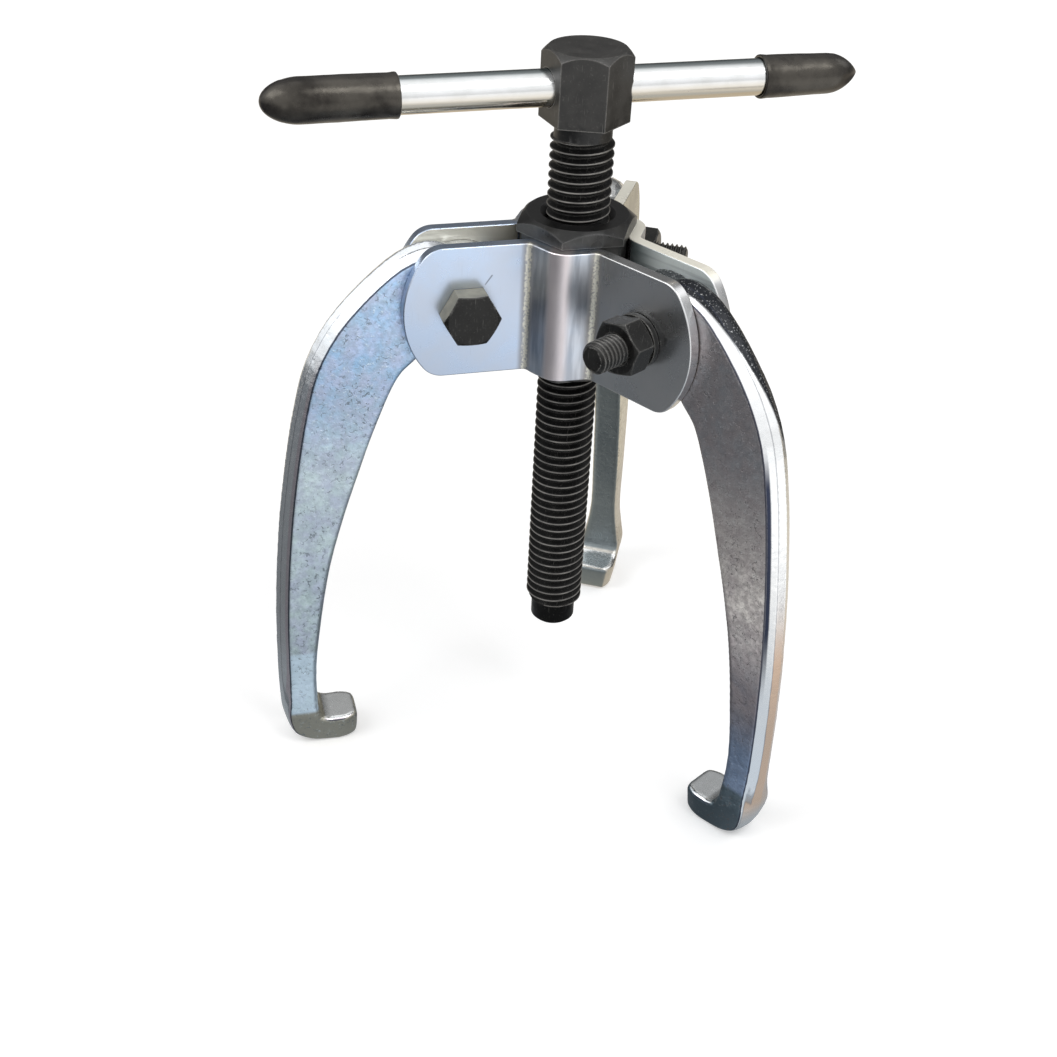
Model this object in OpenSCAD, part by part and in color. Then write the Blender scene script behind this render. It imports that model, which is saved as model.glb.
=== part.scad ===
// Three-arm puller: a screw spindle in a hexagonal yoke nut, three folded
// yoke plates clamped round the nut, and three forged arms with hooked feet.
// The frame's origin is the spindle's nose and +Z runs up the spindle.
// Directions round the spindle are angles from -Y towards +X.

/* [Spindle] */
// Outside diameter of the spindle's thread
spindle_d = 9.9; // [8.4:0.1:11.4]
// Length from the nose's lower edge to the underside of the hexagonal head
spindle_len = 92; // [80:1:120]
// Diameter of the plain nose under the thread
nose_d = 7.8; // [6.6:0.1:8]
// Length of the plain nose
nose_len = 3; // [2:0.5:6]
// Diameter of the turned neck between the thread and the head
neck_d = 9.3; // [7.4:0.1:9.5]
// Length of the turned neck
neck_len = 2; // [1:0.5:4]
// Diameter of the ball that presses on the shaft
ball_d = 5; // [4:0.1:5.4]
// Height of the ball's centre over the nose's lower edge
ball_rise = 0.6; // [0.3:0.1:1]
// Radial clearance of the ball in its socket
ball_gap = 0.06; // [0.02:0.01:0.1]

/* [Spindle head] */
// Width of the head across its flats
head_af = 12; // [11:0.5:15]
// Height of the head
head_h = 10.9; // [9:0.1:14]
// Diameter of the flat in the middle of the head's crowned top
head_top_d = 9.6; // [8:0.1:11]
// Height that the crown loses before the chamfer begins
head_crown = 0.2; // [0.1:0.1:0.6]
// Angle of one corner of the head
head_turn = 39.4; // [0:0.1:59.9]

/* [T-bar] */
// Diameter of the sliding bar
bar_d = 5.5; // [4:0.1:6]
// Length of the bar
bar_len = 81; // [70:1:120]
// Direction in which the bar's right end points
bar_angle = 121.9; // [90:0.1:150]
// How far the bar is slid towards its left end
bar_shift = 1.7; // [0:0.1:12]
// Radial clearance of the bar in the head
bar_gap = 0.08; // [0.02:0.01:0.1]
// Outside diameter of a bar cap
cap_d = 6.7; // [6.4:0.1:8]
// Outside diameter of the right cap at the bar's end, to which it tapers
right_cap_end_d = 6.2; // [6:0.1:7]
// Length of the left cap, which was dipped deeper
left_cap_len = 19.7; // [12:0.1:24]
// Length of the right cap
right_cap_len = 16.5; // [12:0.1:24]
// Length of the left cap's closed end beyond the bar
left_cap_end = 6; // [3:0.1:8]
// Length of the right cap's closed end beyond the bar
right_cap_end = 5.5; // [3:0.1:8]
// How pointed the right cap's end is: 1 is round
right_cap_point = 1.6; // [1:0.1:2.5]
// Clearance of a cap round the bar
cap_gap = 0.02; // [0.01:0.01:0.1]

/* [Yoke nut] */
// Width of the nut across its flats
nut_af = 17; // [17:0.5:20]
// Height of the hexagonal flange over the plates
nut_flange_h = 2.6; // [1.5:0.1:4]
// Diameter of the flat inside the chamfer on the nut's top
nut_top_d = 16; // [14.5:0.1:16.8]
// Depth of the milled waist below the flats
waist_depth = 0.37; // [0.3:0.01:0.6]
// Diameter of the round collar under the plates
collar_d = 17.2; // [17:0.1:18.4]
// Height of the round collar
collar_h = 1.3; // [1:0.1:3]
// Radial clearance of the spindle in the nut
thread_gap = 0.08; // [0.02:0.01:0.1]
// Depth of the countersink at each end of the bore
countersink = 0.9; // [0.3:0.1:1.2]

/* [Yoke plates] */
// Height of a plate
plate_h = 21.5; // [19.5:0.5:26]
// Thickness of the plate's steel
plate_t = 2; // [1.2:0.1:2.5]
// Distance from the spindle's axis to a wing's tip
wing_reach = 28.5; // [27:0.5:34]
// Radius of the wing's end in side view
wing_end_r = 15; // [13:0.5:20]
// Radius that rounds the wing's corners
wing_corner_r = 4; // [2:0.5:6]
// Inner bend radius where the plate folds round the nut
nose_bend_r = 2; // [1:0.5:5]
// Outer bend radius where a wing folds away from the nut
wing_bend_r = 1; // [0.5:0.1:1.6]
// Clearance between a plate and the nut
plate_gap = 0.05; // [0.02:0.01:0.1]

/* [Arms] */
// Thickness of an arm at its eye
arm_t = 5.6; // [4.5:0.1:6.5]
// Clearance between an arm and each plate
arm_gap = 0.08; // [0.05:0.01:0.3]
// Radius of the eye
eye_r = 8.8; // [8:0.1:9]
// Distance from the spindle's axis to a pivot bolt
pivot_r = 18.3; // [18.3:0.1:22]
// Height of the pivot over the bearing face of the hook
arm_drop = 79.5; // [60:0.5:110]
// Distance from the pivot out to the arm's side edge at the ankle
arm_span = 30.6; // [20:0.1:40]
// Depth of an arm's side at the shoulder
shoulder_d = 13.5; // [11:0.5:15]
// Depth of an arm's side at the ankle
ankle_d = 5; // [4:0.1:6.5]
// Height of the back's parting ridge over the arm's side edges
ridge_h = 1.6; // [0.4:0.1:2]
// Radius of the arm's inner edges
inner_edge_r = 0.8; // [0.3:0.1:1.2]

/* [Hooks] */
// Width of the hook across its bearing face
hook_w = 8; // [7:0.1:11]
// Thickness of the hook under its bearing face
hook_t = 5.3; // [4:0.1:8]
// Length of the hook from the arm's inner side to the toe
hook_len = 7; // [6:0.1:12]
// Radius in the corner between the arm and the hook
crotch_r = 2; // [1:0.1:3]
// Side taper of the foot, per side
foot_draft = 0.6; // [0:0.1:1]

/* [Pivot bolts] */
// Diameter of a pivot bolt
bolt_d = 5; // [4:0.5:6]
// Length of a pivot bolt under its head
bolt_len = 20; // [19:1:30]
// Width of bolt heads and nuts across the flats
bolt_af = 8; // [8:0.5:11]
// Height of a bolt head
bolt_head_h = 3.5; // [2.5:0.1:5]
// Radial clearance of a bolt in the arm's eye
bolt_gap = 0.08; // [0.02:0.01:0.1]
// Radial clearance of a bolt in the plates, the washer and the nut
hole_gap = 0.1; // [0.03:0.01:0.3]
// Height of a hexagonal nut
nut_h = 4; // [3:0.1:5]
// Thickness of a spring washer
washer_t = 1.2; // [0.8:0.1:1.6]
// Width of the spring washer's ring
washer_w = 1.7; // [1.2:0.1:2]
// Width of the split in the spring washer
washer_split = 0.9; // [0.5:0.1:1.5]

/* [Hidden] */
$fn = 96;
eps = 0.01;

// Directions of the three arms and of the three plates between them
left_arm_a = -60;
right_arm_a = 60;
rear_arm_a = 180;
front_plate_a = 0;
right_plate_a = 120;
left_plate_a = -120;

// Heights: the plates hang on the nut and the arms hang on the plates' middle
hook_top_z = -15.5;
bar_hole_share = 0.457;
pivot_z = hook_top_z + arm_drop;
plate_z = pivot_z - plate_h / 2;
plate_top_z = plate_z + plate_h;
nut_z = plate_z - plate_gap - collar_h;
nut_top_z = plate_top_z + plate_gap + nut_flange_h;
bar_z = spindle_len + bar_hole_share * head_h;

// Distances from the axis to the nut's waist and to a plate's two faces round it.
// The waist's corners are turned down until they clear the plates' bends.
waist_r = nut_af / 2 - waist_depth;
fold_in = waist_r + plate_gap;
fold_out = fold_in + plate_t;
waist_corner_r = (fold_in - nose_bend_r * (1 - cos(30))) / cos(30) - plate_gap;
wing_in = arm_t / 2 + arm_gap;
wing_out = wing_in + plate_t;
fastener_slope = tan(30);
fastener_flat = 0.97;
nut_slope = tan(38);
head_slope = tan(44);
head_knee_r = 0.975 * head_af / 2;

// The limb is a hair thinner than the eye, as a forging leaves it
limb_half = arm_t / 2 - 0.05;
foot_half = hook_w / 2;
heel_out = 0.5;
edge_drop = 0.3;
toe_round = 1.6;
arm_steps = 3;
edge_break = 0.5;
small_break = 0.3;
washer_turn = 200;
nut_turn = 14;

// Turns its children from local +X to an angle from -Y towards +X
module turn_to(angle) {
    rotate([0, 0, angle - 90]) children();
}

// Lays its children's XY profile in the local XZ plane, thick along Y
module upright(from_y, to_y) {
    translate([0, to_y, 0]) rotate([90, 0, 0]) linear_extrude(to_y - from_y) children();
}

// Radius of a hexagon's corners, and of the flat inside a fastener's chamfer
function hex_corner(af) = af / 2 / cos(30);
function hex_flat(af) = af / 2 * fastener_flat;

// Hexagonal prism whose corners are turned to a cone at its low and high face,
// outside the radii low_r and high_r
module turned_hex(af, h, low_r, high_r, slope) {
    corner_r = hex_corner(af);
    intersection() {
        cylinder(r = corner_r, h = h, $fn = 6);
        rotate_extrude()
            polygon([[0, 0], [low_r, 0], [corner_r, (corner_r - low_r) * slope],
                [corner_r, h - (corner_r - high_r) * slope], [high_r, h], [0, h]]);
    }
}

// Points of a corner at p rounded with radius r between directions to a and b
function unit(v) = v / norm(v);
function arc_corner(a, p, b, r, steps) =
    let (u = unit(a - p), v = unit(b - p), half = acos(u * v) / 2,
        mid = p + unit(u + v) * r / sin(half), start = p + u * r / tan(half) - mid,
        side = sign(u[0] * v[1] - u[1] * v[0]), sweep = side * (180 - 2 * half))
    [for (i = [0:steps]) let (t = -sweep * i / steps)
        mid + [start[0] * cos(t) - start[1] * sin(t), start[0] * sin(t) + start[1] * cos(t)]];

// One face of a folded plate in plan, at given distances from nut and arm axes
function fold_x(fold, wing) = fold - wing;
function fold_y(fold, wing) = -(fold + wing) / (2 * cos(30));
function wing_tip(fold, wing, side) =
    let (s = wing_reach + 1)
    [side * (s * sin(60) - wing * 0.5), -(s * 0.5 + wing * sin(60))];
function plate_line(fold, wing, nose_r, wing_r) =
    let (l = wing_tip(fold, wing, -1), r = wing_tip(fold, wing, 1),
        cl = [-fold_x(fold, wing), fold_y(fold, wing)],
        cr = [fold_x(fold, wing), fold_y(fold, wing)], n = [0, -fold / cos(30)])
    concat([l], arc_corner(l, cl, n, wing_r, 8), arc_corner(cl, n, cr, nose_r, 12),
        arc_corner(n, cr, r, wing_r, 8), [r]);
function reversed(list) = [for (i = [len(list) - 1:-1:0]) list[i]];

// Side view of a wing beyond its straight edges: a wide arc with round corners
module wing_end_profile() {
    half = plate_h / 2;
    mid_x = wing_reach - wing_end_r;
    corner_z = half - wing_corner_r;
    corner_x = mid_x + sqrt(pow(wing_end_r - wing_corner_r, 2) - pow(corner_z, 2));
    spread = atan2(corner_z, corner_x - mid_x);
    tip = [mid_x + wing_end_r * cos(spread), wing_end_r * sin(spread)];
    far = 2 * wing_end_r;
    intersection() {
        translate([mid_x, 0]) circle(r = wing_end_r);
        polygon([[mid_x, 0], [mid_x + far * cos(spread), far * sin(spread)],
            [mid_x + far * cos(spread), -far * sin(spread)]]);
    }
    for (side = [-1, 1]) translate([corner_x, side * corner_z]) circle(r = wing_corner_r);
    polygon([[0, half], [corner_x, half], [corner_x, corner_z], tip,
        [tip[0], -tip[1]], [corner_x, -corner_z], [corner_x, -half], [0, -half]]);
}

// What the press trims off a wing's end
module wing_trim(from_y, to_y) {
    room = 4;
    translate([0, 0, pivot_z]) upright(from_y - room, to_y + room)
        difference() {
            translate([wing_reach - wing_end_r / 2, -plate_h / 2 - room])
                square([wing_end_r / 2 + 2 * room, plate_h + 2 * room]);
            wing_end_profile();
        }
}

module pivot_hole(angle, r) {
    turn_to(angle) translate([pivot_r, 0, pivot_z]) rotate([90, 0, 0])
        cylinder(r = r, h = 8 * wing_out, center = true);
}

// A flat strip folded round one corner of the nut, with a wing along each arm
module yoke_plate(angle) {
    outer = plate_line(fold_out, wing_out, nose_bend_r + plate_t, wing_bend_r);
    inner = plate_line(fold_in, wing_in, nose_bend_r, wing_bend_r + plate_t);
    color("#b9bec4") rotate([0, 0, angle]) difference() {
        translate([0, 0, plate_z]) linear_extrude(plate_h)
            polygon(concat(outer, reversed(inner)));
        turn_to(right_arm_a) wing_trim(-wing_out, -wing_in);
        turn_to(left_arm_a) wing_trim(wing_in, wing_out);
        pivot_hole(right_arm_a, bolt_d / 2 + hole_gap);
        pivot_hole(left_arm_a, bolt_d / 2 + hole_gap);
    }
}

// Hexagonal flange, milled waist inside the plates and round collar below them
module yoke_nut() {
    bore_r = spindle_d / 2 + thread_gap;
    flange_z = nut_top_z - nut_flange_h;
    color("#26282b") difference() {
        union() {
            translate([0, 0, flange_z]) rotate([0, 0, 30])
                turned_hex(nut_af, nut_flange_h, hex_corner(nut_af), nut_top_d / 2, nut_slope);
            translate([0, 0, nut_z]) intersection() {
                rotate([0, 0, 30])
                    cylinder(r = waist_r / cos(30), h = flange_z - nut_z + eps, $fn = 6);
                cylinder(r = waist_corner_r, h = flange_z - nut_z + eps);
            }
            translate([0, 0, nut_z]) rotate_extrude()
                polygon([[0, 0], [collar_d / 2 - small_break, 0], [collar_d / 2, small_break],
                    [collar_d / 2, collar_h], [0, collar_h]]);
        }
        translate([0, 0, nut_z - eps]) cylinder(r = bore_r, h = nut_top_z - nut_z + 2 * eps);
        translate([0, 0, nut_top_z - countersink])
            cylinder(r1 = bore_r, r2 = bore_r + countersink, h = countersink + eps);
        translate([0, 0, nut_z - eps])
            cylinder(r1 = bore_r + countersink, r2 = bore_r, h = countersink + eps);
    }
}

// The arm's outer side edge, from the shoulder to the ankle. Each row holds its
// place as shares of arm_span and arm_drop, the direction of the section towards
// the inner side, and the depth between ankle_d (0) and shoulder_d (1).
arm_form = [
    [0.327, -0.088, 262, 1.30],
    [0.497, -0.033, 249, 1.13],
    [0.660, 0.040, 229, 1.00],
    [0.771, 0.121, 215, 0.94],
    [0.837, 0.216, 203, 0.80],
    [0.889, 0.327, 192, 0.65],
    [0.935, 0.453, 184, 0.47],
    [0.971, 0.591, 177, 0.28],
    [0.993, 0.735, 172, 0.14],
    [1.000, 0.867, 174, 0.01]
];

// A section is its outer and inner points, its half widths there and its ridge
function limb_section(row) =
    let (outer = [row[0] * arm_span, -row[1] * arm_drop],
        depth = ankle_d + row[3] * (shoulder_d - ankle_d),
        inner = outer + depth * [cos(row[2]), sin(row[2])])
    [outer[0], outer[1], inner[0], inner[1], limb_half, limb_half, ridge_h];
function eye_section(x, top, low, ridge) =
    [x * eye_r, top * eye_r, x * eye_r, -low * eye_r, limb_half, limb_half, ridge * ridge_h];

// The foot, from the ankle round the heel to the toe, measured from the pivot
in_x = arm_span - ankle_d;
top_y = -arm_drop;
sole_y = top_y - hook_t;
draft_half = foot_half - foot_draft;
foot_sections = [
    [arm_span + 0.4 * heel_out, top_y + 4.6, in_x + 0.1, top_y + 4.2, foot_half - 0.4,
        foot_half - 0.5, 0.8 * ridge_h],
    [arm_span + heel_out, top_y + 1.2, in_x, top_y + crotch_r, foot_half, foot_half - 0.1,
        0.45 * ridge_h],
    [arm_span - 0.5, top_y - 0.53 * hook_t, in_x - 0.29 * crotch_r, top_y + 0.29 * crotch_r,
        foot_half, draft_half, 0.3 * ridge_h],
    [arm_span - 3.2, top_y - 0.89 * hook_t, in_x - crotch_r, top_y, foot_half, draft_half,
        0.15 * ridge_h],
    [in_x - 0.2 * hook_len, sole_y, in_x - 0.42 * hook_len, top_y, foot_half, draft_half, 0],
    [in_x - 0.6 * hook_len, sole_y, in_x - 0.68 * hook_len, top_y, foot_half, draft_half, 0],
    [in_x - hook_len + toe_round / 3, sole_y + 0.3, in_x - hook_len + toe_round / 3,
        top_y, foot_half - toe_round / 2, draft_half - toe_round / 2, 0],
    [in_x - hook_len, sole_y + toe_round, in_x - hook_len, top_y - 0.6,
        foot_half - toe_round, draft_half - toe_round, 0]
];

arm_sections = concat([eye_section(0.17, 0.955, 0.74, 0.4), eye_section(0.62, 0.975, 0.72, 1)],
    [for (row = arm_form) limb_section(row)], foot_sections);

// Catmull-Rom curve through the sections, so that the limb flows evenly
function curve(a, b, c, d, t) =
    0.5 * (2 * b + (c - a) * t + (2 * a - 5 * b + 4 * c - d) * t * t
        + (3 * b - a - 3 * c + d) * t * t * t);
function flowing(list, steps) =
    let (last = len(list) - 1)
    concat([for (i = [0:last - 1]) for (k = [0:steps - 1])
        curve(list[max(i - 1, 0)], list[i], list[i + 1], list[min(i + 2, last)], k / steps)],
        [list[last]]);

// Outline of one section: rounded inner edges, flat sides, ridged back
function section_points(s) =
    let (outer = [s[0], s[1]], inner = [s[2], s[3]], w = norm(outer - inner),
        e = (outer - inner) / w, r = inner_edge_r, k = r * (1 - cos(45)),
        hi = s[4], ho = s[5], ridge = s[6], far = w + 0.65 * ridge,
        half_outline = [[0, hi - r], [k, hi - k], [r, hi], [w - edge_drop, ho],
            [w, ho - edge_drop], [far, 0.5 * ho]],
        shape = concat(half_outline, [[w + ridge, 0]],
            [for (q = reversed(half_outline)) [q[0], -q[1]]]))
    [for (q = shape) [inner[0] + e[0] * q[0], q[1], inner[1] + e[1] * q[0]]];

module limb() {
    rings = [for (s = flowing(arm_sections, arm_steps)) section_points(s)];
    n = len(rings[0]);
    m = len(rings);
    points = [for (ring = rings) each ring];
    sides = [for (i = [0:m - 2]) for (k = [0:n - 1]) let (j = (k + 1) % n)
        each [[i * n + k, (i + 1) * n + k, i * n + j],
            [i * n + j, (i + 1) * n + k, (i + 1) * n + j]]];
    ends = [[for (k = [0:n - 1]) k], [for (k = [n - 1:-1:0]) (m - 1) * n + k]];
    polyhedron(points, concat(sides, ends));
}

// Forged arm: eye, curved limb and flared foot with its hook
module arm(angle) {
    color("#aab4bd") turn_to(angle) translate([pivot_r, 0, pivot_z]) difference() {
        union() {
            rotate([90, 0, 0]) cylinder(r = eye_r, h = arm_t, center = true);
            limb();
        }
        rotate([90, 0, 0]) cylinder(r = bolt_d / 2 + bolt_gap, h = 2 * arm_t, center = true);
    }
}

// Places its children on a pivot, along local Y from the head side
module on_pivot(angle, y) {
    turn_to(angle) translate([pivot_r, y, pivot_z]) rotate([90, 0, 0]) children();
}

module pivot_bolt(angle) {
    color("#1f2022") on_pivot(angle, wing_out) {
        rotate([180, 0, 0]) turned_hex(bolt_af, bolt_head_h, hex_corner(bolt_af),
            hex_flat(bolt_af), fastener_slope);
        rotate_extrude()
            polygon([[0, -eps], [bolt_d / 2, -eps], [bolt_d / 2, bolt_len - edge_break],
                [bolt_d / 2 - edge_break, bolt_len], [0, bolt_len]]);
    }
}

module spring_washer(angle) {
    in_r = bolt_d / 2 + hole_gap;
    out_r = in_r + washer_w;
    color("#2b2c2e") on_pivot(angle, -wing_out) difference() {
        cylinder(r = out_r, h = washer_t);
        translate([0, 0, -eps]) cylinder(r = in_r, h = washer_t + 2 * eps);
        rotate([0, 0, washer_turn]) translate([in_r + washer_w / 2, 0, washer_t / 2])
            rotate([30, 0, 0]) cube([2 * washer_w, washer_split, 3 * washer_t], center = true);
    }
}

module hex_nut(angle) {
    bore_r = bolt_d / 2 + hole_gap / 2;
    color("#232427") on_pivot(angle, -wing_out - washer_t) difference() {
        rotate([0, 0, nut_turn])
            turned_hex(bolt_af, nut_h, hex_flat(bolt_af), hex_flat(bolt_af), fastener_slope);
        translate([0, 0, -eps]) cylinder(r = bore_r, h = nut_h + 2 * eps);
    }
}

// Screw with a plain nose, a socket for the ball and a drilled hexagonal head
module spindle() {
    r = spindle_d / 2;
    nose_r = nose_d / 2;
    neck_r = neck_d / 2;
    rise = r - nose_r;
    neck_z = spindle_len - neck_len;
    corner_r = hex_corner(head_af);
    out_r = corner_r + r;
    knee_h = head_h - head_crown;
    color("#1d1f21") difference() {
        union() {
            rotate_extrude()
                polygon([[0, -edge_break], [nose_r - edge_break, -edge_break], [nose_r, 0],
                    [nose_r, nose_len], [r, nose_len + rise], [r, neck_z - (r - neck_r)],
                    [neck_r, neck_z], [neck_r, spindle_len + eps], [0, spindle_len + eps]]);
            translate([0, 0, spindle_len]) intersection() {
                rotate([0, 0, head_turn - 90]) cylinder(r = corner_r, h = head_h, $fn = 6);
                rotate_extrude()
                    polygon([[0, 0], [out_r, 0],
                        [out_r, knee_h - (out_r - head_knee_r) * head_slope],
                        [head_knee_r, knee_h], [head_top_d / 2, head_h], [0, head_h]]);
            }
        }
        translate([0, 0, ball_rise]) sphere(r = ball_d / 2 + ball_gap);
        translate([0, 0, bar_z]) turn_to(bar_angle) rotate([0, 90, 0])
            cylinder(r = bar_d / 2 + bar_gap, h = 2 * head_af, center = true);
    }
}

module pressure_ball() {
    color("#8d9094") translate([0, 0, ball_rise]) sphere(r = ball_d / 2);
}

// Places its children on the bar's axis, with the bar's middle at their origin
module on_bar() {
    translate([0, 0, bar_z]) turn_to(bar_angle) translate([-bar_shift, 0, 0])
        rotate([0, 90, 0]) children();
}

module t_bar() {
    r = bar_d / 2;
    half = bar_len / 2;
    color("#c9cdd1") on_bar() rotate_extrude()
        polygon([[0, -half], [r - edge_break, -half], [r, -half + edge_break],
            [r, half - edge_break], [r - edge_break, half], [0, half]]);
}

// Dipped cap over the bar's end: an open tube whose end is round or pointed
module bar_cap(side, cap_len, end_d, end_len, point) {
    mouth_r = cap_d / 2;
    end_r = end_d / 2;
    bar_end = bar_len / 2;
    mouth_z = bar_end + end_len - cap_len;
    steps = 10;
    color("#161718") on_bar() mirror([0, 0, side < 0 ? 1 : 0]) difference() {
        rotate_extrude()
            polygon(concat([[0, mouth_z], [mouth_r - small_break, mouth_z],
                [mouth_r, mouth_z + small_break]],
                [for (i = [0:steps]) let (a = 90 * i / steps)
                    [end_r * pow(cos(a), point), bar_end + end_len * sin(a)]]));
        translate([0, 0, mouth_z - eps])
            cylinder(r = bar_d / 2 + cap_gap, h = bar_end - mouth_z + eps);
    }
}

yoke_nut();
yoke_plate(front_plate_a);  // front_yoke_plate
yoke_plate(right_plate_a);  // right_yoke_plate
yoke_plate(left_plate_a);  // left_yoke_plate
arm(left_arm_a);  // left_arm
arm(right_arm_a);  // right_arm
arm(rear_arm_a);  // rear_arm
pivot_bolt(left_arm_a);  // left_pivot_bolt
pivot_bolt(right_arm_a);  // right_pivot_bolt
pivot_bolt(rear_arm_a);  // rear_pivot_bolt
spring_washer(left_arm_a);  // left_spring_washer
spring_washer(right_arm_a);  // right_spring_washer
spring_washer(rear_arm_a);  // rear_spring_washer
hex_nut(left_arm_a);  // left_hex_nut
hex_nut(right_arm_a);  // right_hex_nut
hex_nut(rear_arm_a);  // rear_hex_nut
spindle();
pressure_ball();
t_bar();
bar_cap(-1, left_cap_len, cap_d, left_cap_end, 1);  // left_bar_cap
bar_cap(1, right_cap_len, right_cap_end_d, right_cap_end, right_cap_point);  // right_bar_cap
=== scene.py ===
# %% [markdown]
# # A three-arm puller
# The solids of this hand tool come packed from CAD, in metres, with the spindle's
# nose at the origin and the spindle along +Z. This file gives them their looks.
# Nothing made here may reach out of it.
# The first step loads them, with helpers that find the box each solid fills. The arms
# and the ball made here stay inside their solids' boxes.

# %% Load the solids
import math

import bmesh
import bpy
from mathutils import Matrix, Vector, noise


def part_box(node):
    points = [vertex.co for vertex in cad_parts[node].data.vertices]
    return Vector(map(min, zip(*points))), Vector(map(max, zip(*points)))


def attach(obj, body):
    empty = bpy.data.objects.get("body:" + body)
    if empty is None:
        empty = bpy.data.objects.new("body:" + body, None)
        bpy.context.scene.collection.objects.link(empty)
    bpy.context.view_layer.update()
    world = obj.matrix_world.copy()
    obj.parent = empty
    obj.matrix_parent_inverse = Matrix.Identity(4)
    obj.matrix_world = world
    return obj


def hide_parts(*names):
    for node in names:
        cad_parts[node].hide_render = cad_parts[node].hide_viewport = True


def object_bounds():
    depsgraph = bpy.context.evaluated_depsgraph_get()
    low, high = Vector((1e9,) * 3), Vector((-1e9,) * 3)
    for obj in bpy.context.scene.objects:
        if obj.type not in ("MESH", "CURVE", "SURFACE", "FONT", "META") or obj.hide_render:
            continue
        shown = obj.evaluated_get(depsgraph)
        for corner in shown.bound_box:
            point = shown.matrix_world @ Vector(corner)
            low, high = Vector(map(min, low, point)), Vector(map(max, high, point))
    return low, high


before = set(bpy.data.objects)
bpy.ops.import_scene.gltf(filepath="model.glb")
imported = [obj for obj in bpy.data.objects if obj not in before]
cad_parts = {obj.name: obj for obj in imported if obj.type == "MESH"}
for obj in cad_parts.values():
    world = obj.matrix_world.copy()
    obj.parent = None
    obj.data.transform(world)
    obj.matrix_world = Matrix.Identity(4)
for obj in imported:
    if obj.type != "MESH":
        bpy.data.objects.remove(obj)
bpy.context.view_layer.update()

MM = 0.001

# %% [markdown]
# Three arms stand round the spindle, and three folded plates sit between them. A
# direction round the spindle is an angle from -Y towards +X. What repeats is worked in
# one place, by one function, and then turned to its own direction.

# %% Directions round the spindle
ARMS = {"left": -60, "right": 60, "rear": 180}
WORLD_UP = Vector((0, 0, 1))


def outwards(angle):
    """The unit vector that points away from the spindle at an angle."""
    return Vector((math.sin(math.radians(angle)), -math.cos(math.radians(angle)), 0))


def sideways(angle):
    """The unit vector square to outwards, to the right of someone who looks inwards."""
    return Vector((math.cos(math.radians(angle)), math.sin(math.radians(angle)), 0))


# %% Objects
def new_object(name, data):
    """Puts a camera, a lamp or a mesh into the scene."""
    made = bpy.data.objects.new(name, data)
    bpy.context.scene.collection.objects.link(made)
    return made


def new_mesh(name, bm):
    """Turns a bmesh into a mesh and lets go of the bmesh."""
    mesh = bpy.data.meshes.new(name)
    bm.to_mesh(mesh)
    bm.free()
    return mesh


# %% [markdown]
# ## Camera
# The picture looks down on the tool from the front, a little from the right. The
# lens, the place and the tilt were worked out from the tool's own straight edges.

# %% Camera
CAMERA_PLACE = Vector((45.83, -213.63, 164.70)) * MM
CAMERA_TURN, CAMERA_DOWN, CAMERA_ROLL = 13.452, 33.938, 2.973

camera_data = bpy.data.cameras.new("camera")
camera_data.sensor_width = 36
camera_data.lens = 50.51
camera_data.clip_start = 0.01
camera = new_object("camera", camera_data)
bpy.context.scene.camera = camera
camera.matrix_world = (
    Matrix.Translation(CAMERA_PLACE)
    @ Matrix.Rotation(math.radians(CAMERA_TURN), 4, "Z")
    @ Matrix.Rotation(math.radians(90 - CAMERA_DOWN), 4, "X")
    @ Matrix.Rotation(math.radians(CAMERA_ROLL), 4, "Z")
)
bpy.context.scene.view_settings.view_transform = "Standard"
print("camera:", [round(c, 4) for c in camera.location], "lens", camera_data.lens)

# %% [markdown]
# ## Shader helpers
# A material is a small network of nodes. The first helpers add one node, make its own
# settings and fill its inputs, either with a value or with another node's output. The
# others are built on them, so that a network reads like a list of sentences.

# %% Nodes
def fill(net, made, inputs):
    """Fills a node's inputs, each with a value or with another node's output."""
    for name, value in inputs.items():
        socket = made.inputs[name]
        if isinstance(value, bpy.types.NodeSocket):
            net.links.new(value, socket)
        else:
            socket.default_value = (*value, 1) if socket.type == "RGBA" else value
    return made


def put(net, kind, inputs=None, **settings):
    """Adds one shader node and returns it, with its settings made and its inputs filled."""
    made = net.nodes.new("ShaderNode" + kind)
    for name, value in settings.items():
        setattr(made, name, value)
    return fill(net, made, inputs or {})


def new_material(name):
    """A material with an empty network, and that network."""
    material = bpy.data.materials.new(name)
    material.use_nodes = True
    material.node_tree.nodes.clear()
    return material, material.node_tree


def end_in_shader(net, colour, rough, metallic, relief=None, strength=0.2, depth=0.02,
                  gloss=0.5, sheen=(1, 1, 1)):
    """Ends a network in its shader, with a bump where it has relief. Depth is in mm."""
    inputs = {"Base Color": colour, "Roughness": rough, "Metallic": metallic,
              "Specular IOR Level": gloss, "Specular Tint": sheen}
    if relief is not None:
        bump = put(net, "Bump", {"Strength": strength, "Distance": depth * MM,
                                 "Height": relief})
        inputs["Normal"] = bump.outputs[0]
    shader = put(net, "BsdfPrincipled", inputs)
    put(net, "OutputMaterial", {"Surface": shader.outputs[0]})


def by_ray(net, kind, shown, other):
    """One shader for a kind of ray, and another for all the rest."""
    share = put(net, "LightPath").outputs[kind]
    return put(net, "MixShader", {0: share, 1: other, 2: shown}).outputs[0]


# %% Numbers and places
def math_of(net, operation, a, b=0.0, c=0.0, clamp=False):
    """The output of a Math node on up to three values or sockets."""
    return put(net, "Math", {0: a, 1: b, 2: c}, operation=operation,
               use_clamp=clamp).outputs[0]


def times(net, a, b):
    """The product of two values or sockets."""
    return math_of(net, "MULTIPLY", a, b)


def plus(net, number, factor, other):
    """A number times a factor, added to another number."""
    return math_of(net, "MULTIPLY_ADD", number, factor, other)


def spread(net, share, low, high):
    """A number that goes from low, at share 0, to high, at share 1."""
    return plus(net, share, high - low, low)


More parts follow.
